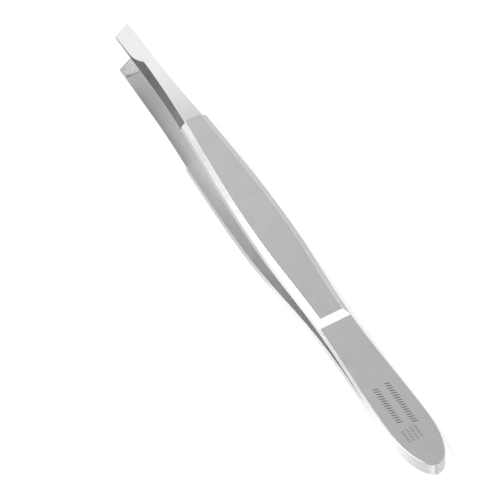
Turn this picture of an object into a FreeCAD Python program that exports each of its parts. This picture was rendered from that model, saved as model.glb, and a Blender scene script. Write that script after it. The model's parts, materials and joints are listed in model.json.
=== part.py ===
import FreeCAD, Part
import math
import os

# Slant tweezers: two mirror-image steel arms, joined at the heel by resistance welds.
#
# Each arm is one strip of spring steel. From the heel it runs as a thin leaf, then as a thicker
# grip with bevelled edges, then as a narrow tip that is ground down to a blade. The blade ends
# on a slant and carries a raised gripping pad on its inner side.
#
# The arms bend in their leaves. Each leaf is divided at the middle of its bending length by a
# hair-thin gap, and the piece in front of the gap turns about that place.
#
# Everything is drawn first in the closed pair's own frame: X from the heel end to the tips,
# Y across, Z the direction in which the arms open, with Z = 0 where the two leaves touch.
# The pair is then laid on its side, on the long edges of both arms, with the origin under the
# middle of its footprint. The arm on the +Z side of that frame is the front arm, and the other
# one is the back arm.
# All sizes are in millimetres and degrees.

# ---- plan: length, and full widths at the places where the outline is widest or narrowest
LENGTH = 90.0
HEEL_WIDTH = 6.15
HEEL_WIDEST_AT = 7.8
HEEL_FLAT_SHARE = 0.28
WAIST_WIDTH = 5.05
GRIP_WIDTH = 6.25
GRIP_WIDEST_AT = 44.5
NECK_WIDTH = 3.1
NECK_BEHIND_TIP = 10.0
TIP_WIDTH = 2.9

# ---- side view of one arm
LEAF_THICKNESS = 1.2
GRIP_RISE = 0.53
WELD_LENGTH = 9.0
GRIP_START = 27.0
GRIP_END_BEHIND_TIP = 23.0
GRIP_ANGLE = 4.5
TIP_ANGLE = -0.7

# ---- grip edges
BEVEL_RUN = 0.74
HEEL_CHAMFER_RUN = 1.1

# ---- tip
FACET_RUN = 0.6
FACET_LAND = 0.12
KNEE_THICKNESS = 1.95
KNEE_BEHIND_TIP = 9.8
RAMP_LENGTH = 3.9
BLADE_ROOT_THICKNESS = 0.4
BLADE_TIP_THICKNESS = 0.2
SLANT_RUN = 1.5

# ---- gripping pad
PAD_BEHIND_TIP = 3.3
PAD_RISE = 0.3
PAD_BACK_CHAMFER = 0.15
PAD_SIDE_STEP = 0.06
PADS_CLOSED_GAP = 0.02

# ---- flexure and welds
FLEXURE_GAP = 0.16
WELD_DIAMETER = 2.6
WELD_DEPTH = 0.45
WELD_FRONT_MARGIN = 0.5
WELD_SPACING_SHARE = 0.4

# ---- working sizes that follow from the ones above
GRIP_END = LENGTH - GRIP_END_BEHIND_TIP
KNEE_AT = LENGTH - KNEE_BEHIND_TIP
RAMP_END = KNEE_AT + RAMP_LENGTH
NECK_AT = LENGTH - NECK_BEHIND_TIP
PAD_START = LENGTH - PAD_BEHIND_TIP
GRIP_THICKNESS = LEAF_THICKNESS + GRIP_RISE
GRIP_SLOPE = math.tan(math.radians(GRIP_ANGLE))
TIP_SLOPE = math.tan(math.radians(TIP_ANGLE))
BEND_LENGTH = GRIP_START - WELD_LENGTH
FLEXURE_AT = WELD_LENGTH + BEND_LENGTH / 2
FRONT_WELD_AT = WELD_LENGTH - WELD_FRONT_MARGIN - WELD_DIAMETER / 2
WELDS_AT = (FRONT_WELD_AT - WELD_SPACING_SHARE * WELD_LENGTH, FRONT_WELD_AT)
SPARE = 3.0

V = FreeCAD.Vector
ORIGIN = V(0, 0, 0)
X_AXIS = V(1, 0, 0)
Y_AXIS = V(0, 1, 0)
Z_AXIS = V(0, 0, 1)

# The outline's half width eases between these places, level with the axis at each of them.
OUTLINE = (
    (HEEL_WIDEST_AT, HEEL_WIDTH / 2),
    (GRIP_START, WAIST_WIDTH / 2),
    (GRIP_WIDEST_AT, GRIP_WIDTH / 2),
    (NECK_AT, NECK_WIDTH / 2),
)


def ease(start, end, t):
    """Value between start and end, level at both."""
    return start + (end - start) * (1 - math.cos(math.pi * t)) / 2


def half_width(x):
    """Half of the arm's width in plan, from the heel's widest place to the tip."""
    for (x0, w0), (x1, w1) in zip(OUTLINE, OUTLINE[1:]):
        if x <= x1:
            return ease(w0, w1, (x - x0) / (x1 - x0))
    taper = (NECK_WIDTH - TIP_WIDTH) / 2 / (LENGTH - NECK_AT)
    return NECK_WIDTH / 2 - taper * (x - NECK_AT)


def inner_z(x):
    """Height of the front arm's inner face: flat at the weld, curved up, straight, straight."""
    if x <= WELD_LENGTH:
        return 0.0
    if x <= GRIP_START:
        return GRIP_SLOPE * (x - WELD_LENGTH) ** 2 / (2 * BEND_LENGTH)
    at_grip = GRIP_SLOPE * BEND_LENGTH / 2
    if x <= GRIP_END:
        return at_grip + GRIP_SLOPE * (x - GRIP_START)
    at_tip = at_grip + GRIP_SLOPE * (GRIP_END - GRIP_START)
    return at_tip + TIP_SLOPE * (x - GRIP_END)


def stations(start, end, spacing=3.0):
    """Evenly spaced places from start to end."""
    count = max(2, math.ceil((end - start) / spacing))
    return [start + (end - start) * i / count for i in range(count + 1)]


def spline(points):
    """Smooth curve through the points."""
    curve = Part.BSplineCurve()
    curve.interpolate(points)
    return curve.toShape()


def line(*points):
    """Straight edges through the points."""
    return [Part.makeLine(a, b) for a, b in zip(points, points[1:])]


def solid_between(edges, direction):
    """Closed flat outline, pushed along a direction."""
    return Part.Face(Part.Wire(Part.__sortEdges__(edges))).extrude(direction)


def outline_prism():
    """Plan outline of the whole arm, as a tall block: half an ellipse, then eased flanks."""
    low = -SPARE
    nose = Part.Ellipse(V(HEEL_WIDEST_AT, 0, low), HEEL_WIDEST_AT, HEEL_WIDTH / 2)
    edges = [Part.ArcOfEllipse(nose, math.pi / 2, 3 * math.pi / 2).toShape()]
    edges += line(V(LENGTH, half_width(LENGTH), low), V(LENGTH, -half_width(LENGTH), low))
    for side in (1, -1):
        flank = [V(x, side * half_width(x), low) for x in stations(HEEL_WIDEST_AT, LENGTH)]
        edges.append(spline(flank))
    return solid_between(edges, Z_AXIS * (4 * SPARE + LENGTH * GRIP_SLOPE))


def flat_on_nose(solid):
    """Small flat ground on the heel's nose, from its very end round to the -Y side."""
    along = HEEL_WIDEST_AT * (1 - math.sqrt(1 - HEEL_FLAT_SHARE ** 2))
    across = HEEL_FLAT_SHARE * HEEL_WIDTH / 2
    reach = SPARE / across
    corners = [
        V(-along * reach, across * reach, -SPARE),
        V(along * reach, -across * reach, -SPARE),
        V(-SPARE - along * reach, -across * reach, -SPARE),
        V(-SPARE - along * reach, across * reach, -SPARE),
    ]
    cutter = solid_between(line(*corners, corners[0]), Z_AXIS * (2 * SPARE))
    return solid.cut(cutter)


def side_slab():
    """Side view of the front arm, pushed across the whole width."""
    y = -HEEL_WIDTH
    curve = stations(WELD_LENGTH, GRIP_START, BEND_LENGTH / 6)
    leaf_top = [V(x, y, inner_z(x) + LEAF_THICKNESS) for x in curve]
    leaf_under = [V(x, y, inner_z(x)) for x in curve]
    chamfer_end = GRIP_START + HEEL_CHAMFER_RUN
    edges = [spline(leaf_top), spline(leaf_under)]
    edges += line(
        leaf_top[-1],
        V(chamfer_end, y, inner_z(chamfer_end) + GRIP_THICKNESS),
        V(GRIP_END, y, inner_z(GRIP_END) + GRIP_THICKNESS),
        V(KNEE_AT, y, inner_z(KNEE_AT) + KNEE_THICKNESS),
        V(RAMP_END, y, inner_z(RAMP_END) + BLADE_ROOT_THICKNESS),
        V(LENGTH, y, inner_z(LENGTH) + BLADE_TIP_THICKNESS),
        V(LENGTH, y, inner_z(LENGTH)),
        V(GRIP_END, y, inner_z(GRIP_END)),
        leaf_under[-1],
    )
    edges += line(leaf_under[0], V(0, y, 0), V(0, y, LEAF_THICKNESS), leaf_top[0])
    return solid_between(edges, Y_AXIS * (2 * HEEL_WIDTH))


def edge_cutter(side, start, end, low, high, run):
    """What a slanted cut takes off one long edge.

    The cut leaves the outline at the height low above the inner face, and is run further in
    at the height high. It is drawn longer in both directions, so that it passes right through.
    """
    over = 1.0

    def cut_line(share):
        height = low + (high - low) * share
        return spline([
            V(x, side * (half_width(x) - run * share), inner_z(x) + height)
            for x in stations(start, end)
        ])

    slope = Part.makeRuledSurface(cut_line(-over), cut_line(1 + over))
    return slope.extrude(Y_AXIS * (side * HEEL_WIDTH))


def bevel_long_edges(arm):
    """Bevels on the grip, and the slanted sides of the tip above a narrow upright land."""
    cutters = []
    for side in (1, -1):
        bevel = edge_cutter(side, GRIP_START, GRIP_END, LEAF_THICKNESS, GRIP_THICKNESS, BEVEL_RUN)
        facet = edge_cutter(side, GRIP_END, LENGTH, FACET_LAND, GRIP_THICKNESS, FACET_RUN)
        cutters += [bevel, facet]
    for cutter in cutters:
        arm = arm.cut(cutter)
    return arm


def flexure_centre():
    """Where the arm turns: the middle of the leaf's thickness, halfway along its bend."""
    return V(FLEXURE_AT, 0, inner_z(FLEXURE_AT) + LEAF_THICKNESS / 2)


def closing_angle():
    """Degrees that the front arm turns until its blade's end meets the other arm's."""
    centre = flexure_centre()
    reach = LENGTH - centre.x
    tip_z = inner_z(LENGTH) - PAD_SIDE_STEP
    rise = tip_z - centre.z
    distance = math.hypot(reach, rise)
    target = PADS_CLOSED_GAP / 2 - centre.z
    return math.degrees(math.atan2(rise, reach) - math.asin(target / distance))


def gripping_pad():
    """Raised pad on the blade's inner side, flat against the other one when the arms close.

    It is drawn with the arm closed, where its working face is level, and turned back open.
    """
    centre = flexure_centre()
    angle = closing_angle()
    start = V(PAD_START, 0, inner_z(PAD_START) - PAD_RISE)
    opened = FreeCAD.Rotation(Y_AXIS, angle)
    level = PADS_CLOSED_GAP / 2
    back = (opened.multVec(start - centre) + centre).x
    half = NECK_WIDTH
    outline = line(
        V(back, -half, level + PAD_BACK_CHAMFER),
        V(back + PAD_BACK_CHAMFER, -half, level),
        V(LENGTH + SPARE, -half, level),
        V(LENGTH + SPARE, -half, level + PAD_RISE),
        V(back, -half, level + PAD_RISE),
        V(back, -half, level + PAD_BACK_CHAMFER),
    )
    pad = solid_between(outline, Y_AXIS * (2 * half))
    pad.rotate(centre, Y_AXIS, -angle)
    return pad


def slanted_end(solid):
    """The blade's end, cut at a slant: longest on the -Y side."""
    half = HEEL_WIDTH
    run = SLANT_RUN * half / TIP_WIDTH
    middle = LENGTH - SLANT_RUN / 2
    corners = [
        V(middle + run, -half, -SPARE),
        V(middle - run, half, -SPARE),
        V(LENGTH + 3 * SPARE, half, -SPARE),
        V(LENGTH + 3 * SPARE, -half, -SPARE),
    ]
    cutter = solid_between(line(*corners, corners[0]), Z_AXIS * (4 * SPARE + LENGTH * GRIP_SLOPE))
    return solid.cut(cutter)


def whole_arm():
    """The front arm in one piece."""
    arm = side_slab().common(outline_prism())
    arm = flat_on_nose(arm)
    arm = bevel_long_edges(arm)
    pad = gripping_pad().common(outline_prism())
    arm = arm.fuse(pad).removeSplitter()
    return slanted_end(arm)


def flexure_cut(arm, front):
    """The arm's part in front of the flexure gap, or behind it."""
    tall = 4 * SPARE + LENGTH
    if front:
        start = V(FLEXURE_AT + FLEXURE_GAP / 2, -HEEL_WIDTH, -tall / 2)
        box = Part.makeBox(LENGTH, 2 * HEEL_WIDTH, tall, start)
    else:
        start = V(-SPARE, -HEEL_WIDTH, -tall / 2)
        box = Part.makeBox(FLEXURE_AT - FLEXURE_GAP / 2 + SPARE, 2 * HEEL_WIDTH, tall, start)
    return arm.common(box)


def weld_nuggets():
    """Discs of melted and set steel, half in each leaf."""
    return [
        Part.makeCylinder(WELD_DIAMETER / 2, 2 * WELD_DEPTH, V(x, 0, -WELD_DEPTH))
        for x in WELDS_AT
    ]


def on_back_arm(solid):
    """The same piece on the back arm."""
    return solid.mirror(ORIGIN, Z_AXIS)


def as_one(shape):
    """The shape's only solid, or all of them as a group."""
    solids = shape.Solids
    return solids[0] if len(solids) == 1 else Part.makeCompound(solids)


def build():
    """Every piece, in the pair's own frame."""
    arm = whole_arm()
    nuggets = weld_nuggets()
    leaf = flexure_cut(arm, front=False)
    for nugget in nuggets:
        leaf = leaf.cut(nugget)
    front = flexure_cut(arm, front=True)
    return {
        "front_heel_leaf": as_one(leaf),
        "back_heel_leaf": as_one(on_back_arm(leaf)),
        "heel_weld_nuggets": Part.makeCompound(nuggets),
        "front_arm": as_one(front),
        "back_arm": as_one(on_back_arm(front)),
    }


def lay_down(pieces):
    """Turns the pair onto its side and moves the origin under its footprint's middle."""
    for shape in pieces.values():
        shape.rotate(ORIGIN, X_AXIS, 90)
    box = Part.makeCompound(list(pieces.values())).optimalBoundingBox(False)
    shift = V(-(box.XMin + box.XMax) / 2, -(box.YMin + box.YMax) / 2, -box.ZMin)
    for shape in pieces.values():
        shape.translate(shift)
    return shift


def turned(vector):
    """A direction of the pair's own frame, once the pair lies on its side."""
    return FreeCAD.Rotation(X_AXIS, 90).multVec(vector)


pieces = build()
shift = lay_down(pieces)
os.makedirs("parts", exist_ok=True)
for name, shape in pieces.items():
    shape.exportStep(f"parts/{name}.step")
    print(name, "solids", len(shape.Solids), "valid", shape.isValid(), "volume", round(shape.Volume, 3))

centre = flexure_centre()
grip_middle = V(GRIP_WIDEST_AT, 0, inner_z(GRIP_WIDEST_AT) + GRIP_THICKNESS)
normal = FreeCAD.Rotation(Y_AXIS, -GRIP_ANGLE).multVec(Z_AXIS)
print("closing angle", round(closing_angle(), 4), "shift", shift)
for name, side in (("front", 1), ("back", -1)):
    print(name, "flexure", turned(V(centre.x, 0, side * centre.z)) + shift)
    print(name, "grip face", turned(V(grip_middle.x, 0, side * grip_middle.z)) + shift,
          "normal", turned(V(normal.x, 0, side * normal.z)))
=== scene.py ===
import bpy
import json
import math
from mathutils import Matrix, Vector


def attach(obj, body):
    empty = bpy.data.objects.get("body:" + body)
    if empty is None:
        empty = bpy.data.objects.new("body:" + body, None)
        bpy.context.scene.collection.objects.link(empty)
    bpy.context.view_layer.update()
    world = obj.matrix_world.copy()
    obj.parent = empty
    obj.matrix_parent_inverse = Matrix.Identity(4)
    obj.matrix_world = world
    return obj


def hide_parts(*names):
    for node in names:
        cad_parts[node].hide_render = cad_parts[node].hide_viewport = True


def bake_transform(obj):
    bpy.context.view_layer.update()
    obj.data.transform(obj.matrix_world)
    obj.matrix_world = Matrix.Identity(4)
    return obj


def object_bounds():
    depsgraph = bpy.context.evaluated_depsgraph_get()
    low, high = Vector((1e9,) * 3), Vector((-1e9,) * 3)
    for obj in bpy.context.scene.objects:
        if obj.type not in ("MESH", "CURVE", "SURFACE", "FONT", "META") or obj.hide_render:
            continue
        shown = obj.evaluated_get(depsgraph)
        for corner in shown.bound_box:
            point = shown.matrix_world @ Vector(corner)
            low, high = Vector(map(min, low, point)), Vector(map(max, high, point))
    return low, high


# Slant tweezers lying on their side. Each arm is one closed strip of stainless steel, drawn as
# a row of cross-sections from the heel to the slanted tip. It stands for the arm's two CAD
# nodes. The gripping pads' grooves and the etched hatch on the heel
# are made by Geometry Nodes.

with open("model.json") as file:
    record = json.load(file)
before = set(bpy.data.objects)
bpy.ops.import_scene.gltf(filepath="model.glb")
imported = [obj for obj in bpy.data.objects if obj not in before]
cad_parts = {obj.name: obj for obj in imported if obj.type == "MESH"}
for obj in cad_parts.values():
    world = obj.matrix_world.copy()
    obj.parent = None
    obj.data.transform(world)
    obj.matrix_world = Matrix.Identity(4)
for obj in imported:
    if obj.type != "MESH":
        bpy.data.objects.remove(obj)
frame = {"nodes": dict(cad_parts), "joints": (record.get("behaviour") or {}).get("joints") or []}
cad_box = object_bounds()
joint_of = {joint["child"]: joint for joint in frame["joints"]}

MM = 0.001

# ---- sizes of one arm in millimetres, along X from the heel end, and across
LENGTH = 90.0
HEEL_WIDTH = 6.15
HEEL_WIDEST_AT = 7.8
HEEL_FLAT_SHARE = 0.28
WAIST_WIDTH = 5.05
GRIP_WIDTH = 6.25
GRIP_WIDEST_AT = 44.5
NECK_WIDTH = 3.1
NECK_AT = 80.0
TIP_WIDTH = 2.9

WELD_END = 9.0
GRIP_START = 27.0
GRIP_END = 67.0
KNEE_AT = 80.2
RAMP_END = 84.1
GRIP_SLOPE = math.tan(math.radians(4.5))
TIP_SLOPE = math.tan(math.radians(-0.7))

LEAF_THICKNESS = 1.2
GRIP_THICKNESS = 1.73
KNEE_THICKNESS = 1.95
BLADE_ROOT_THICKNESS = 0.4
BLADE_TIP_THICKNESS = 0.2
HEEL_CHAMFER_RUN = 1.1
BEVEL_RUN = 0.74
FACET_RUN = 0.6
FACET_LAND = 0.12
STEP_RUN = 0.18
RAMP_HOLLOW = 1.7
SLANT_RUN = 1.5

# ---- broken edges; the sides are drawn a hair shy, which keeps them inside the CAD's box
EDGE_BREAK = 0.07
EDGE_RADIUS = 0.05
WELDED_EDGE_RADIUS = 0.008
SEAM_OPENS_AT = (9.0, 12.0)
END_RADIUS = 0.07
NOSE_AT = 0.02
SIDE_SHY = 0.0016
ARC_STEPS = 3
EDGE_SUPPORT = 0.05
ROUNDED_SHARE = 0.3
SUPPORT_SHARE = 0.12
KNOT_SOFTENING = 0.05
CORNERS = 6
POINTS_PER_CORNER = ARC_STEPS + 3
RING = CORNERS * POINTS_PER_CORNER

# ---- places of the cross-sections
NOSE_STEPS = 33
NOSE_STEPS_ON_FLAT = 6
FLAT_END_REACH = 0.03
HEEL_SPACING = 0.5
HEEL_STEPS = 41
GRIP_SPACING = 0.75
GRIP_STEPS = 83
RAMP_STEPS = 26
KNOT_REACHES = (-0.13, -0.09, -0.06, -0.03, 0, 0.03, 0.06, 0.09, 0.13)
KNOT_CLEARANCE = 0.16
CLOSEST_SPACING = 0.02
END_STEPS = 3
TIP_RADIUS = END_RADIUS / 2
SLANT_LEAD = 0.5

# ---- gripping pad
PAD_START = 86.7
PAD_CLOSED_ANGLE = joint_of["front_arm"]["range_deg"][1]
PAD_SIDE_STEP = 0.06
PAD_INSET = 0.02
PAD_RIDGES = 6
PAD_GROOVE_DEPTH = 0.1
PAD_CHAMFER = 0.13
PAD_CORNER = 0.45
PAD_ROOT_DEPTH = 0.05
PAD_COLUMNS = 33
PAD_ROWS_PER_RIDGE = 12
GROOVE_WALL = 0.7
PAD_CHAMFER_SHARE = 0.055
PAD_CORNER_FROM = 0.3
PAD_CORNER_POWER = 2.6
PAD_CREASE_ANGLE = math.radians(38)

# ---- etched hatch on the heel: name, middle, size, columns and rows, stroke
ETCH_SKIN = 0.02
ETCH_SUNK_SHARE = 0.2
ETCH_SLANT = math.radians(-18)
STROKE_SIDES = 14
ETCHED_BLOCKS = (
    ("etched_hatch_upper_row", (11.2, -0.85), (7.2, 0.0), (17, 1), (0.17, 0.95)),
    ("etched_hatch_lower_row", (11.6, 1.0), (6.2, 0.0), (15, 1), (0.17, 0.95)),
    ("etched_hatch_fine_block", (6.0, 0.55), (1.9, 1.9), (6, 4), (0.13, 0.36)),
)

# ---- the part's place in the scene
HEEL_X = cad_box[0].x
MIDDLE_Z = joint_of["front_arm"]["pos_m"][2]
ARMS = {"front": -1, "back": 1}


def place(x, y, z, side):
    """Scene point of a place on an arm: x from the heel, y across, z outwards from the middle."""
    return Vector((HEEL_X + x * MM, side * z * MM, MIDDLE_Z + y * MM))


def between(a, b, t):
    return a + (b - a) * t


def share(x, start, end):
    """How far x is from start to end, kept between 0 and 1."""
    return min(1.0, max(0.0, (x - start) / (end - start)))


def polyline(x, knots):
    """Height at x on straight runs between the knots."""
    for (x0, h0), (x1, h1) in zip(knots, knots[1:]):
        if x <= x1:
            return between(h0, h1, share(x, x0, x1))
    return knots[-1][1]


def softened(height, x):
    """The height averaged over a short stretch, which rounds the knots."""
    steps = (-1, -0.6, -0.2, 0.2, 0.6, 1)
    return sum(height(x + KNOT_SOFTENING * step) for step in steps) / len(steps)


def half_width(x):
    """Half of the arm's width: half an ellipse, easing between the outline's places, a taper."""
    if x < HEEL_WIDEST_AT:
        left = 1 - max(x, 0.0) / HEEL_WIDEST_AT
        return HEEL_WIDTH / 2 * math.sqrt(1 - left * left)
    places = ((HEEL_WIDEST_AT, HEEL_WIDTH), (GRIP_START, WAIST_WIDTH),
              (GRIP_WIDEST_AT, GRIP_WIDTH), (NECK_AT, NECK_WIDTH))
    for (x0, w0), (x1, w1) in zip(places, places[1:]):
        if x <= x1:
            eased = (1 - math.cos(math.pi * (x - x0) / (x1 - x0))) / 2
            return between(w0, w1, eased) / 2
    return between(NECK_WIDTH, TIP_WIDTH, (x - NECK_AT) / (LENGTH - NECK_AT)) / 2


def inner_z(x):
    """The inner face: flat at the weld, curved along the bend, then two straight runs."""
    bend = GRIP_START - WELD_END
    if x <= WELD_END:
        return 0.0
    if x <= GRIP_START:
        return GRIP_SLOPE * (x - WELD_END) ** 2 / (2 * bend)
    at_grip = GRIP_SLOPE * bend / 2
    straight = GRIP_SLOPE * (min(x, GRIP_END) - GRIP_START)
    return at_grip + straight + TIP_SLOPE * max(0.0, x - GRIP_END)


def ridge_height(x):
    """Thickness between the ridges: leaf, chamfer, grip, tip, hollow ramp, blade."""
    if KNEE_AT < x < RAMP_END:
        left = 1 - share(x, KNEE_AT, RAMP_END)
        return between(BLADE_ROOT_THICKNESS, KNEE_THICKNESS, left ** RAMP_HOLLOW)
    return polyline(x, (
        (0, LEAF_THICKNESS), (GRIP_START, LEAF_THICKNESS),
        (GRIP_START + HEEL_CHAMFER_RUN, GRIP_THICKNESS), (GRIP_END, GRIP_THICKNESS),
        (KNEE_AT, KNEE_THICKNESS), (RAMP_END, BLADE_ROOT_THICKNESS),
        (LENGTH, BLADE_TIP_THICKNESS)))


def side_height(x):
    """Height of the upright side below the bevel, or of the narrow land beside the tip."""
    upright = min(LEAF_THICKNESS, ridge_height(x) - EDGE_BREAK)
    return between(upright, FACET_LAND, share(x, GRIP_END - STEP_RUN, GRIP_END))


def ridge_inset(x):
    """How far the ridge lies inside the outline."""
    height = ridge_height(x)
    bevel = BEVEL_RUN * (height - LEAF_THICKNESS) / (GRIP_THICKNESS - LEAF_THICKNESS)
    facet = FACET_RUN * (height - FACET_LAND) / (GRIP_THICKNESS - FACET_LAND)
    return between(max(EDGE_BREAK, bevel), facet, share(x, GRIP_END - STEP_RUN, GRIP_END))


def rounded(corners, radii):
    """Each corner becomes a short arc with a support point on both sides."""
    points = []
    for k, corner in enumerate(corners):
        before, after = corners[k - 1] - corner, corners[(k + 1) % len(corners)] - corner
        half_angle = before.angle(after) / 2
        run = min(radii[k] / math.tan(half_angle),
                  ROUNDED_SHARE * before.length, ROUNDED_SHARE * after.length)
        start = corner + before.normalized() * run
        end = corner + after.normalized() * run
        support = min(EDGE_SUPPORT, SUPPORT_SHARE * before.length)
        points.append(start + before.normalized() * support)
        for i in range(ARC_STEPS + 1):
            t = i / ARC_STEPS
            points.append(start.lerp(corner, t).lerp(corner.lerp(end, t), t))
        support = min(EDGE_SUPPORT, SUPPORT_SHARE * after.length)
        points.append(end + after.normalized() * support)
    return points


def nose_edge(x):
    """The outline on the -Y side: the small flat on the nose, then the same as the other side."""
    run = HEEL_WIDEST_AT * (1 - math.sqrt(1 - HEEL_FLAT_SHARE ** 2))
    return min(half_width(x), x * HEEL_FLAT_SHARE * HEEL_WIDTH / 2 / run)


def ring(x, shrink=0.0):
    """Cross-section at x as (y, height above the inner face) points, drawn in by shrink."""
    half, far = half_width(x) - shrink - SIDE_SHY, nose_edge(x) - shrink - SIDE_SHY
    side = softened(side_height, x)
    top = softened(ridge_height, x) - shrink
    inset = min(softened(ridge_inset, x), (half + far) / 4)
    side = min(side, top - EDGE_BREAK / 3)
    inner = WELDED_EDGE_RADIUS + (EDGE_RADIUS - WELDED_EDGE_RADIUS) * share(x, *SEAM_OPENS_AT)
    left = [Vector((half, shrink, 0)), Vector((half, side, 0)), Vector((half - inset, top, 0))]
    right = [Vector((inset - far, top, 0)), Vector((-far, side, 0)), Vector((-far, shrink, 0))]
    radii = (inner, EDGE_RADIUS, EDGE_RADIUS, EDGE_RADIUS, EDGE_RADIUS, inner)
    return [(p.x, p.y) for p in rounded(left + right, radii)]


def stations():
    """Places of the cross-sections: even, and close together at each change of slope."""
    flat_turn = math.asin(HEEL_FLAT_SHARE)
    flat_end = HEEL_WIDEST_AT * (1 - math.cos(flat_turn))
    places = [HEEL_WIDEST_AT * (1 - math.cos(flat_turn * i / NOSE_STEPS_ON_FLAT))
              for i in range(1, NOSE_STEPS + 1)]
    places += [flat_end - FLAT_END_REACH, flat_end + FLAT_END_REACH]
    places += [HEEL_WIDEST_AT + HEEL_SPACING * i for i in range(1, HEEL_STEPS + 1)]
    places += [GRIP_START + GRIP_SPACING * i for i in range(1, GRIP_STEPS + 1)]
    places += [KNEE_AT + (RAMP_END - KNEE_AT) * i / RAMP_STEPS for i in range(1, RAMP_STEPS)]
    knots = (GRIP_START, GRIP_START + HEEL_CHAMFER_RUN, GRIP_END - STEP_RUN, GRIP_END,
             KNEE_AT, RAMP_END)
    for knot in knots:
        places = [x for x in places if abs(x - knot) > KNOT_CLEARANCE]
    places += [knot + reach for knot in knots for reach in KNOT_REACHES]
    places = sorted(x for x in places if NOSE_AT + END_RADIUS < x < LENGTH - END_RADIUS)
    kept = places[:1]
    for x in places[1:]:
        if x - kept[-1] > CLOSEST_SPACING:
            kept.append(x)
    return kept


def slanted(x, y, height):
    """Slides a point back along the slant near the tip, and gives its place on the arm."""
    pull = share(x, PAD_START - SLANT_LEAD, LENGTH)
    moved = x - pull * SLANT_RUN * (y + TIP_WIDTH / 2) / TIP_WIDTH
    return moved, y, inner_z(moved) + height * ridge_height(moved) / ridge_height(x)


def arm_rings():
    """All cross-sections of the front arm, with rounded ends."""
    quarter = [math.pi / 2 * i / END_STEPS for i in range(END_STEPS + 1)]
    rows = [(NOSE_AT + END_RADIUS * (1 - math.sin(a)), END_RADIUS * (1 - math.cos(a)))
            for a in reversed(quarter)]
    rows += [(x, 0.0) for x in stations()]
    rows += [(LENGTH - TIP_RADIUS * (1 - math.sin(a)), TIP_RADIUS * (1 - math.cos(a)))
             for a in quarter]
    return [[slanted(x, y, height) for y, height in ring(x, shrink)] for x, shrink in rows]


# ---- materials
EVEN_TONE = ((0, "ffffff"), (LENGTH, "ffffff"))
# Size of the patches that break up the painted edge highlight and the edge wear.
GLINT_AND_WEAR_PATCH_MM = 0.9
TONE_SPAN = (0.7, 1.3)
ROUGHNESS_SPAN = (0.6, 1.4)


def srgb(code):
    """Linear colour from an sRGB hex value."""
    channels = [int(code[i:i + 2], 16) / 255 for i in (0, 2, 4)]
    linear = [c / 12.92 if c <= 0.04045 else ((c + 0.055) / 1.055) ** 2.4 for c in channels]
    return (*linear, 1.0)


def add(tree, kind, inputs=None, **settings):
    """Adds a node, sets its properties, and sets or links its inputs."""
    made = tree.nodes.new(kind)
    for name, value in settings.items():
        setattr(made, name, value)
    for name, value in (inputs or {}).items():
        if isinstance(value, bpy.types.NodeSocket):
            tree.links.new(value, made.inputs[name])
        else:
            made.inputs[name].default_value = value
    return made


def set_stops(ramp, stops):
    """Gives the colour ramp these (position, colour) stops."""
    elements = ramp.color_ramp.elements
    while len(elements) < len(stops):
        elements.new(0.5)
    for element, (position, colour) in zip(elements, stops):
        element.position = position
        element.color = colour


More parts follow.
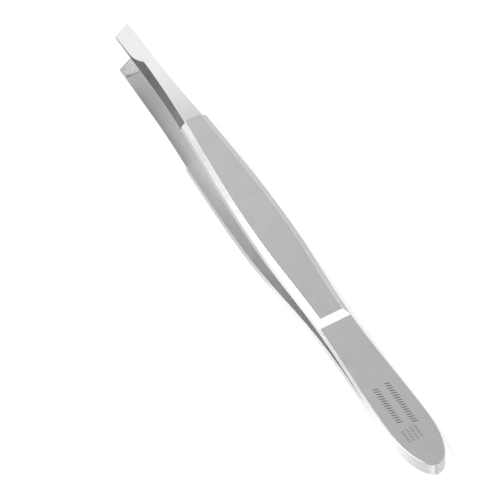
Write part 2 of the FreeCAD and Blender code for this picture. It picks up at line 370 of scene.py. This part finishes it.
def steel(name, dark, light, edge, roughness, spread, grain_mm, grain_depth, mottle_mm=3.0,
          polish_and_shade_drift=EVEN_TONE):
    """Ground stainless steel: grain drawn along the arm, cloudy mottling, bright edges that are
    partly worn and partly a painted highlight.

    The tone slides along the arm from tint to tint through a row of (place, tint); these tints are
    partly uneven polish and partly painted shade and reflection.
    grain_mm is (length, width) of one grinding line, and grain_depth its depth in millimetres.
    The lines of such a belt are about 0.03 mm wide; they are drawn wider so that they show.
    """
    material = bpy.data.materials.new(name)
    material.use_nodes = True
    tree = material.node_tree
    tree.nodes.clear()
    coordinates = add(tree, "ShaderNodeTexCoord").outputs["Object"]
    length, width = grain_mm
    stretched = add(tree, "ShaderNodeMapping", {
        "Vector": coordinates, "Scale": (1 / (length * MM), 1 / (width * MM), 1 / (width * MM))})
    grain = add(tree, "ShaderNodeTexNoise", {
        "Vector": stretched.outputs["Vector"], "Scale": 1.0, "Detail": 4.0, "Roughness": 0.6})
    cloud = add(tree, "ShaderNodeTexNoise", {
        "Vector": coordinates, "Scale": 1 / (mottle_mm * MM), "Detail": 3.0, "Roughness": 0.55})
    blend = add(tree, "ShaderNodeMath", {0: grain.outputs["Fac"], 1: cloud.outputs["Fac"]},
                operation="ADD")
    tone = add(tree, "ShaderNodeMapRange", {
        "Value": blend.outputs[0], "From Min": TONE_SPAN[0], "From Max": TONE_SPAN[1]})
    colour = add(tree, "ShaderNodeMix", {
        "Factor": tone.outputs["Result"], 6: srgb(dark), 7: srgb(light)}, data_type="RGBA")
    split = add(tree, "ShaderNodeSeparateXYZ", {0: coordinates})
    along = add(tree, "ShaderNodeMapRange", {
        "Value": split.outputs["X"], "From Min": HEEL_X, "From Max": HEEL_X + LENGTH * MM})
    tints = add(tree, "ShaderNodeValToRGB", {"Fac": along.outputs["Result"]})
    set_stops(tints, [(place_mm / LENGTH, srgb(tint)) for place_mm, tint in polish_and_shade_drift])
    colour = add(tree, "ShaderNodeMix", {
        "Factor": 1.0, 6: colour.outputs[2], 7: tints.outputs["Color"]},
        data_type="RGBA", blend_type="MULTIPLY")
    # The rounded edges are mixed towards the edge colour: a painted highlight along each edge, with
    # some wear, broken into patches.
    glint_and_wear_mark = add(tree, "ShaderNodeAttribute", attribute_name="edge_glint_and_wear")
    ragged = add(tree, "ShaderNodeTexNoise", {
        "Vector": coordinates, "Scale": 1 / (GLINT_AND_WEAR_PATCH_MM * MM), "Detail": 2.0})
    glint_and_wear = add(tree, "ShaderNodeMath", {0: glint_and_wear_mark.outputs["Fac"], 1: ragged.outputs["Fac"]},
               operation="MULTIPLY")
    edged = add(tree, "ShaderNodeMix", {
        "Factor": glint_and_wear.outputs[0], 6: colour.outputs[2], 7: srgb(edge)}, data_type="RGBA")
    rough = add(tree, "ShaderNodeMapRange", {
        "Value": blend.outputs[0], "From Min": ROUGHNESS_SPAN[0], "From Max": ROUGHNESS_SPAN[1],
        "To Min": roughness - spread, "To Max": roughness + spread})
    bump = add(tree, "ShaderNodeBump", {
        "Height": grain.outputs["Fac"], "Strength": 1.0, "Distance": grain_depth * MM})
    shader = add(tree, "ShaderNodeBsdfPrincipled", {
        "Metallic": 1.0, "Base Color": edged.outputs[2],
        "Roughness": rough.outputs["Result"], "Normal": bump.outputs["Normal"]})
    add(tree, "ShaderNodeOutputMaterial", {"Surface": shader.outputs["BSDF"]})
    return material


# Hardened stainless steel, belt-ground to a satin: a soft even grey with faint long lines, a little
# darker towards the heel, which is partly polish and partly painted shade.
satin = steel("stainless_steel_satin_ground", "b2b2b1", "bababa", "e2e2e0",
              0.34, 0.04, (5.0, 0.12), 0.0003, polish_and_shade_drift=((4, "efefef"), (62, "ffffff")))
# The same steel inside the arms, ground and brushed: bright in the middle of its length, and darker
# towards the heel and the tips. The raised brightness is painted light, and the darkening is
# painted shade, deepest at the heel where the arms close in.
inside = steel("stainless_steel_inner_face", "e6e6e5", "eeeeed", "f8f8f6",
               0.3, 0.05, (3.5, 0.14), 0.0004,
               polish_and_shade_drift=((12, "b0b0b0"), (22, "f2f2f2"), (36, "eaeaea"), (50, "e8e8e8"),
                      (63, "e4e4e4"), (80, "b8b8b8")))
# Bevels and long edges, polished on a felt wheel: bright, with soft reflections.
polished = steel("stainless_steel_polished_bevel", "bebebd", "c8c8c7", "f2f2f0",
                 0.2, 0.04, (6.0, 0.2), 0.0002)
# The chamfer across the heel and the ends, burnished last, and painted almost white as a highlight
# on these small facets.
burnished_highlit = steel("stainless_steel_burnished_chamfer_painted_highlight", "f0f0ef", "f8f8f7", "fcfcfa",
                  0.16, 0.03, (1.0, 0.2), 0.0002)
# Outer face of the tip, fine-ground after hardening: the brightest flat on the tool. Its brightness
# is partly a painted highlight, and its darkening next to the grip is painted shade.
tip_face = steel("stainless_steel_fine_ground_tip_painted_light", "e1e1e0", "e6e6e5", "f6f6f4",
                 0.26, 0.04, (2.5, 0.1), 0.0002, polish_and_shade_drift=((67, "e2e2e2"), (78, "ffffff")))
# Slanted sides of the tip, ground on the wheel and left: dark beside the bright face, and darker
# towards the tip; the darker colour and the darkening are painted shade.
flank = steel("stainless_steel_wheel_ground_flank_painted_shade", "aeaead", "b8b8b7", "e6e6e4",
              0.3, 0.05, (2.0, 0.12), 0.0004, mottle_mm=2.0, polish_and_shade_drift=((68, "ffffff"), (78, "e4e4e4")))
# Gripping pad, cut with fine grooves: bright crests over grey unpolished grooves; the crests'
# brightness is a painted highlight.
grooved = steel("stainless_steel_grooved_pad", "a6a6a5", "b6b6b5", "fcfcfa",
                0.24, 0.05, (1.0, 0.1), 0.0003, mottle_mm=1.0)
# Weld nugget: melted and set steel, grey with scale, closed in between the leaves.
weld = steel("stainless_steel_as_welded", "777775", "8e8d8a", "a0a09e",
             0.55, 0.12, (0.6, 0.4), 0.004, mottle_mm=0.8)
# Laser-etched hatch: a dark oxide skin on the satin, matt and slightly uneven.
etched = steel("stainless_steel_laser_etched", "646463", "767675", "767675",
               0.5, 0.08, (0.4, 0.2), 0.0003, mottle_mm=0.5)

# Columns of the ring that belong to each face: side, bevel, outer face, bevel, side, inner face.
FACES = ("side", "bevel", "outer", "bevel", "side", "inner")
MATERIALS = [satin, polished, tip_face, flank, inside, burnished_highlit]
SATIN, POLISHED, TIP_FACE, FLANK, INSIDE, BURNISHED_HIGHLIT = range(6)


def finish_of(face, x):
    """Which finish the face has at x."""
    if face == "inner":
        return INSIDE
    if face == "outer":
        if x > GRIP_END:
            return TIP_FACE
        return BURNISHED_HIGHLIT if GRIP_START < x < GRIP_START + HEEL_CHAMFER_RUN else SATIN
    if x > GRIP_END:
        return FLANK if face == "bevel" else BURNISHED_HIGHLIT
    return BURNISHED_HIGHLIT if x > GRIP_END - STEP_RUN else POLISHED


def arm_strip(name, side):
    """One arm as a closed mesh, with its finishes and its worn edges."""
    rings = arm_rings()
    vertices = [place(*point, side) for row in rings for point in row]
    faces, finishes = [], []
    for i, (row, following) in enumerate(zip(rings, rings[1:])):
        x = (row[0][0] + following[0][0]) / 2
        for j in range(RING):
            k = (j + 1) % RING
            faces.append((i * RING + j, i * RING + k, (i + 1) * RING + k, (i + 1) * RING + j))
            corner, step = divmod(j, POINTS_PER_CORNER)
            face = FACES[corner] if step >= POINTS_PER_CORNER // 2 else FACES[corner - 1]
            finishes.append(finish_of(face, x))
    last = (len(rings) - 1) * RING
    faces += [tuple(reversed(range(RING))), tuple(range(last, last + RING))]
    finishes += [POLISHED, TIP_FACE]
    if side > 0:
        faces = [tuple(reversed(face)) for face in faces]
    mesh = bpy.data.meshes.new(name)
    mesh.from_pydata(vertices, [], faces)
    for material in MATERIALS:
        mesh.materials.append(material)
    mesh.polygons.foreach_set("material_index", finishes)
    mesh.polygons.foreach_set("use_smooth", [True] * len(faces))
    # The arcs of the rounded edges carry the painted edge highlight and wear.
    glint_and_wear = mesh.attributes.new("edge_glint_and_wear", "FLOAT", "POINT")
    on_arc = [0 < j % POINTS_PER_CORNER < POINTS_PER_CORNER - 1 for j in range(RING)]
    glint_and_wear.data.foreach_set("value", [float(flag) for _ in rings for flag in on_arc])
    mesh.update()
    strip = bpy.data.objects.new(name, mesh)
    bpy.context.scene.collection.objects.link(strip)
    return strip


# ---- Geometry Nodes
def new_tree(name, sockets):
    """Empty geometry tree with named inputs and one geometry output."""
    tree = bpy.data.node_groups.new(name, "GeometryNodeTree")
    for label, kind in sockets:
        tree.interface.new_socket(label, in_out="INPUT", socket_type="NodeSocket" + kind)
    tree.interface.new_socket("Geometry", in_out="OUTPUT", socket_type="NodeSocketGeometry")
    return tree


def grown(name, tree, values):
    """Plain mesh object made by the tree with these input values."""
    holder = bpy.data.objects.new(name, bpy.data.meshes.new(name + "_start"))
    bpy.context.scene.collection.objects.link(holder)
    modifier = holder.modifiers.new("shape", "NODES")
    modifier.node_group = tree
    for item in tree.interface.items_tree:
        if item.in_out == "INPUT":
            modifier[item.identifier] = values[item.name]
    depsgraph = bpy.context.evaluated_depsgraph_get()
    mesh = bpy.data.meshes.new_from_object(holder.evaluated_get(depsgraph))
    bpy.data.objects.remove(holder)
    mesh.name = name
    made = bpy.data.objects.new(name, mesh)
    bpy.context.scene.collection.objects.link(made)
    return made


def pad_tree():
    """Plate between four corners of a working face, with a wave of grooves across it.

    A block of even cells is bent to shape: its X runs across, its Y from the back to the end,
    and its Z from the arm's steel to the working face.
    """
    tree = new_tree("grooved_pad", (
        ("Back left", "Vector"), ("Back right", "Vector"), ("End left", "Vector"),
        ("End right", "Vector"), ("Root at back", "Vector"), ("Root at end", "Vector"),
        ("Groove", "Vector"), ("Chamfer", "Vector"), ("Corner", "Vector"),
        ("Ridges", "Int"), ("Material", "Material")))
    given = add(tree, "NodeGroupInput").outputs
    rows = add(tree, "ShaderNodeMath", {
        0: given["Ridges"], 1: PAD_ROWS_PER_RIDGE, 2: 1.0}, operation="MULTIPLY_ADD")
    block = add(tree, "GeometryNodeMeshCube", {
        "Vertices X": PAD_COLUMNS, "Vertices Y": rows.outputs[0], "Vertices Z": 2})
    at = add(tree, "ShaderNodeVectorMath", {
        0: add(tree, "GeometryNodeInputPosition").outputs[0], 1: (0.5, 0.5, 0.5)}, operation="ADD")
    split = add(tree, "ShaderNodeSeparateXYZ", {0: at.outputs[0]})
    across, along, out = split.outputs
    back = add(tree, "ShaderNodeMix", {
        "Factor": across, 4: given["Back right"], 5: given["Back left"]}, data_type="VECTOR")
    end = add(tree, "ShaderNodeMix", {
        "Factor": across, 4: given["End right"], 5: given["End left"]}, data_type="VECTOR")
    face = add(tree, "ShaderNodeMix", {
        "Factor": along, 4: back.outputs[1], 5: end.outputs[1]}, data_type="VECTOR")
    root = add(tree, "ShaderNodeMix", {
        "Factor": along, 4: given["Root at back"], 5: given["Root at end"]}, data_type="VECTOR")
    sunk = add(tree, "ShaderNodeMix", {
        "Factor": out, 4: root.outputs[1], 5: (0.0, 0.0, 0.0)}, data_type="VECTOR")
    turns = add(tree, "ShaderNodeMath", {0: given["Ridges"], 1: 2 * math.pi}, operation="MULTIPLY")
    phase = add(tree, "ShaderNodeMath", {0: along, 1: turns.outputs[0]}, operation="MULTIPLY")
    wave = add(tree, "ShaderNodeMath", {0: phase.outputs[0]}, operation="COSINE")
    valley = add(tree, "ShaderNodeMapRange", {
        "Value": wave.outputs[0], "From Min": -GROOVE_WALL, "From Max": GROOVE_WALL,
        "To Min": 1.0, "To Max": 0.0}, interpolation_type="SMOOTHSTEP")
    cut = add(tree, "ShaderNodeMath", {0: valley.outputs["Result"], 1: out}, operation="MULTIPLY")
    groove = add(tree, "ShaderNodeVectorMath", {0: given["Groove"], "Scale": cut.outputs[0]},
                 operation="SCALE")
    slope = add(tree, "ShaderNodeMapRange", {
        "Value": along, "From Min": 0.0, "From Max": PAD_CHAMFER_SHARE,
        "To Min": 1.0, "To Max": 0.0})
    edge = add(tree, "ShaderNodeMath", {0: slope.outputs["Result"], 1: out}, operation="MULTIPLY")
    chamfer = add(tree, "ShaderNodeVectorMath", {0: given["Chamfer"], "Scale": edge.outputs[0]},
                  operation="SCALE")
    off_middle = add(tree, "ShaderNodeMath", {0: across, 1: 0.5}, operation="SUBTRACT")
    distance = add(tree, "ShaderNodeMath", {0: off_middle.outputs[0]}, operation="ABSOLUTE")
    near_side = add(tree, "ShaderNodeMapRange", {
        "Value": distance.outputs[0], "From Min": PAD_CORNER_FROM, "From Max": 0.5})
    curve = add(tree, "ShaderNodeMath", {
        0: near_side.outputs["Result"], 1: PAD_CORNER_POWER}, operation="POWER")
    fading = add(tree, "ShaderNodeMapRange", {
        "Value": along, "From Min": 0.0, "From Max": 1.0, "To Min": 1.0, "To Max": 0.0})
    bend = add(tree, "ShaderNodeMath", {0: curve.outputs[0], 1: fading.outputs["Result"]},
               operation="MULTIPLY")
    corner = add(tree, "ShaderNodeVectorMath", {0: given["Corner"], "Scale": bend.outputs[0]},
                 operation="SCALE")
    total = face.outputs[1]
    for part in (sunk.outputs[1], groove.outputs[0], chamfer.outputs[0], corner.outputs[0]):
        total = add(tree, "ShaderNodeVectorMath", {0: total, 1: part}, operation="ADD").outputs[0]
    shaped = add(tree, "GeometryNodeSetPosition", {
        "Geometry": block.outputs["Mesh"], "Position": total})
    # The crests are marked for the edge colour: a painted highlight on the crests, with some wear.
    crest = add(tree, "ShaderNodeMath", {0: 1.0, 1: cut.outputs[0]}, operation="SUBTRACT")
    noted = add(tree, "GeometryNodeStoreNamedAttribute", {
        "Geometry": block.outputs["Mesh"], "Name": "edge_glint_and_wear", "Value": crest.outputs[0]})
    tree.links.new(noted.outputs[0], shaped.inputs["Geometry"])
    real = add(tree, "GeometryNodeRealizeInstances", {"Geometry": shaped.outputs[0]})
    finished = add(tree, "GeometryNodeSetMaterial", {
        "Geometry": real.outputs[0], "Material": given["Material"]})
    add(tree, "NodeGroupOutput", {"Geometry": finished.outputs[0]})
    return tree


def gripping_pad(name, tree, side):
    """Grooved pad on the inner side of a blade, flat against the other one when closed."""
    working_end = inner_z(LENGTH) - PAD_SIDE_STEP
    fall = math.tan(math.radians(PAD_CLOSED_ANGLE))

    def corner(x, y):
        return place(x, y, working_end - fall * (LENGTH - x), side)

    def root(x):
        gap = inner_z(x) + PAD_ROOT_DEPTH - (working_end - fall * (LENGTH - x))
        return Vector((0, side * gap * MM, 0))

    outward = Vector((0, side * MM, 0))
    back_half = half_width(PAD_START) - PAD_INSET
    end_half = half_width(LENGTH) - PAD_INSET
    pad = grown(name, tree, {
        "Back left": corner(PAD_START, back_half),
        "Back right": corner(PAD_START, -back_half),
        "End left": corner(LENGTH - SLANT_RUN - PAD_INSET, end_half),
        "End right": corner(LENGTH - PAD_INSET, -end_half),
        "Root at back": root(PAD_START), "Root at end": root(LENGTH),
        "Groove": outward * PAD_GROOVE_DEPTH, "Chamfer": outward * PAD_CHAMFER,
        "Corner": Vector((PAD_CORNER, side * fall * PAD_CORNER, 0)) * MM,
        "Ridges": PAD_RIDGES, "Material": grooved})
    if side > 0:
        pad.data.flip_normals()
    pad.data.polygons.foreach_set("use_smooth", [True] * len(pad.data.polygons))
    pad.data.set_sharp_from_angle(angle=PAD_CREASE_ANGLE)
    return pad


def hatch_tree():
    """Rows of short slanted strokes, lying just proud of the heel's outer face."""
    tree = new_tree("etched_hatch", (
        ("Columns", "Int"), ("Rows", "Int"), ("Length", "Float"), ("Height", "Float"),
        ("Stroke size", "Vector"), ("Slant", "Vector"), ("Bend start", "Float"),
        ("Bend", "Float"), ("Place", "Vector"), ("Material", "Material")))
    given = add(tree, "NodeGroupInput").outputs
    grid = add(tree, "GeometryNodeMeshGrid", {
        "Size X": given["Length"], "Size Y": given["Height"],
        "Vertices X": given["Columns"], "Vertices Y": given["Rows"]})
    split = add(tree, "ShaderNodeSeparateXYZ", {
        0: add(tree, "GeometryNodeInputPosition").outputs[0]})
    past = add(tree, "ShaderNodeMath", {0: split.outputs["X"], 1: given["Bend start"]},
               operation="SUBTRACT")
    bent = add(tree, "ShaderNodeMath", {0: past.outputs[0], 1: 0.0}, operation="MAXIMUM")
    square = add(tree, "ShaderNodeMath", {0: bent.outputs[0], 1: 2.0}, operation="POWER")
    rise = add(tree, "ShaderNodeMath", {0: square.outputs[0], 1: given["Bend"]},
               operation="MULTIPLY")
    lift = add(tree, "ShaderNodeCombineXYZ", {"Z": rise.outputs[0]})
    points = add(tree, "GeometryNodeSetPosition", {
        "Geometry": grid.outputs["Mesh"], "Offset": lift.outputs[0]})
    stroke = add(tree, "GeometryNodeMeshCylinder", {
        "Vertices": STROKE_SIDES, "Radius": 0.5, "Depth": 1.0})
    sized = add(tree, "GeometryNodeTransform", {
        "Geometry": stroke.outputs["Mesh"], "Rotation": given["Slant"],
        "Scale": given["Stroke size"]})
    strokes = add(tree, "GeometryNodeInstanceOnPoints", {
        "Points": points.outputs[0], "Instance": sized.outputs[0]})
    laid = add(tree, "GeometryNodeTransform", {
        "Geometry": strokes.outputs[0], "Translation": given["Place"],
        "Rotation": (math.pi / 2, 0.0, 0.0)})
    real = add(tree, "GeometryNodeRealizeInstances", {"Geometry": laid.outputs[0]})
    finished = add(tree, "GeometryNodeSetMaterial", {
        "Geometry": real.outputs[0], "Material": given["Material"]})
    add(tree, "NodeGroupOutput", {"Geometry": finished.outputs[0]})
    return tree


def etched_hatch(name, tree, middle, size, count, stroke_size):
    """A block of strokes on the front arm's heel: middle (x, y), size and count of the block."""
    x, y = middle
    return grown(name, tree, {
        "Columns": count[0], "Rows": count[1],
        "Length": size[0] * MM, "Height": size[1] * MM,
        "Stroke size": Vector((stroke_size[0], stroke_size[1], ETCH_SKIN)) * MM,
        "Slant": Vector((0, 0, ETCH_SLANT)),
        "Bend start": (WELD_END - x) * MM,
        "Bend": GRIP_SLOPE / (2 * (GRIP_START - WELD_END) * MM),
        "Place": place(x, y, LEAF_THICKNESS - ETCH_SKIN * ETCH_SUNK_SHARE, ARMS["front"]),
        "Material": etched})


def bend_with(piece):
    """Bakes the piece's transform into its mesh."""
    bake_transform(piece)


# ---- build
grooves = pad_tree()
for arm, side in ARMS.items():
    strip = arm_strip(arm + "_arm_strip", side)
    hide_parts(arm + "_heel_leaf", arm + "_arm")
    bend_with(strip)
    pad = gripping_pad(arm + "_gripping_pad", grooves, side)
    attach(pad, arm + "_arm")
hatching = hatch_tree()
for name, middle, size, count, stroke_size in ETCHED_BLOCKS:
    block = etched_hatch(name, hatching, middle, size, count, stroke_size)
    bend_with(block)
nuggets = frame["nodes"]["heel_weld_nuggets"]
nuggets.data.materials.clear()
nuggets.data.materials.append(weld)

# ---- studio
FLOOR_HALF = 4.0
FLOOR_DROP = 0.00002
FLOOR_COLOUR = "949494"
FLOOR_GLOW = 0.78
HORIZON_LIGHT = 0.95
DOME_LIGHT = 0.32
ZENITH_LIGHT = 0.9
SOFTBOX_DISTANCE = 1.8

# name, azimuth and elevation in degrees, width, height, radiance
SOFTBOXES = (
    ("key_softbox", -76, 44, 1.1, 1.2, 3.0),
    ("fill_softbox", -44, 44, 0.9, 1.2, 1.05),
    ("top_softbox", 0, 88, 1.4, 1.4, 1.2),
    ("back_softbox", 90, 30, 2.3, 1.3, 0.8),
)


def floor():
    mesh = bpy.data.meshes.new("floor")
    h, z = FLOOR_HALF, -FLOOR_DROP
    mesh.from_pydata([(-h, -h, z), (h, -h, z), (h, h, z), (-h, h, z)], [], [(0, 1, 2, 3)])
    material = bpy.data.materials.new("backlit_opal_acrylic")
    material.use_nodes = True
    tree = material.node_tree
    tree.nodes.clear()
    lit = add(tree, "ShaderNodeBsdfDiffuse", {"Color": srgb(FLOOR_COLOUR)})
    glow = add(tree, "ShaderNodeEmission", {"Strength": FLOOR_GLOW})
    both = add(tree, "ShaderNodeAddShader", {0: lit.outputs[0], 1: glow.outputs[0]})
    add(tree, "ShaderNodeOutputMaterial", {"Surface": both.outputs[0]})
    mesh.materials.append(material)
    made = bpy.data.objects.new("floor", mesh)
    bpy.context.scene.collection.objects.link(made)


def surroundings():
    """Pale at the horizon, darker above it, and pale again overhead."""
    world = bpy.data.worlds.new("studio")
    bpy.context.scene.world = world
    world.use_nodes = True
    tree = world.node_tree
    tree.nodes.clear()
    direction = add(tree, "ShaderNodeTexCoord").outputs["Generated"]
    split = add(tree, "ShaderNodeSeparateXYZ", {0: direction})
    ramp = add(tree, "ShaderNodeValToRGB", {"Fac": split.outputs["Z"]})
    stops = ((0.0, HORIZON_LIGHT), (0.34, HORIZON_LIGHT), (0.56, DOME_LIGHT),
             (0.86, DOME_LIGHT), (0.96, ZENITH_LIGHT))
    set_stops(ramp, [(position, (value, value, value, 1)) for position, value in stops])
    glow = add(tree, "ShaderNodeBackground", {"Color": ramp.outputs["Color"], "Strength": 1.0})
    add(tree, "ShaderNodeOutputWorld", {"Surface": glow.outputs[0]})


def softbox(name, azimuth, elevation, width, height, radiance):
    """Area light facing the origin; azimuth is counted from +X towards +Y, in degrees."""
    a, e = math.radians(azimuth), math.radians(elevation)
    towards = Vector((math.cos(a) * math.cos(e), math.sin(a) * math.cos(e), math.sin(e)))
    light = bpy.data.lights.new(name, "AREA")
    light.shape = "RECTANGLE"
    light.size, light.size_y = width, height
    light.energy = radiance * math.pi * width * height
    made = bpy.data.objects.new(name, light)
    made.location = towards * SOFTBOX_DISTANCE
    made.rotation_mode = "QUATERNION"
    made.rotation_quaternion = towards.to_track_quat("Z", "Y")
    made.visible_camera = False
    bpy.context.scene.collection.objects.link(made)


floor()
surroundings()
for light_box in SOFTBOXES:
    softbox(*light_box)

# ---- camera
CAMERA_AT = Vector((-0.237427, -0.328264, 0.118655))
CAMERA_RIGHT = Vector((-0.49101, 0.05816, -0.86921)).normalized()
CAMERA_UP = Vector((0.66260, -0.62284, -0.41597)).normalized()
CAMERA_LENS_MM = 215.9
camera_data = bpy.data.cameras.new("camera")
camera_data.sensor_width = 36
camera_data.lens = CAMERA_LENS_MM
camera_data.clip_start = 0.01
camera_data.clip_end = 20
camera = bpy.data.objects.new("camera", camera_data)
back = CAMERA_RIGHT.cross(CAMERA_UP)
axes = Matrix((CAMERA_RIGHT, CAMERA_UP, back)).transposed().to_4x4()
camera.matrix_world = Matrix.Translation(CAMERA_AT) @ axes
bpy.context.scene.collection.objects.link(camera)
bpy.context.scene.camera = camera
bpy.context.scene.view_settings.view_transform = "Standard"
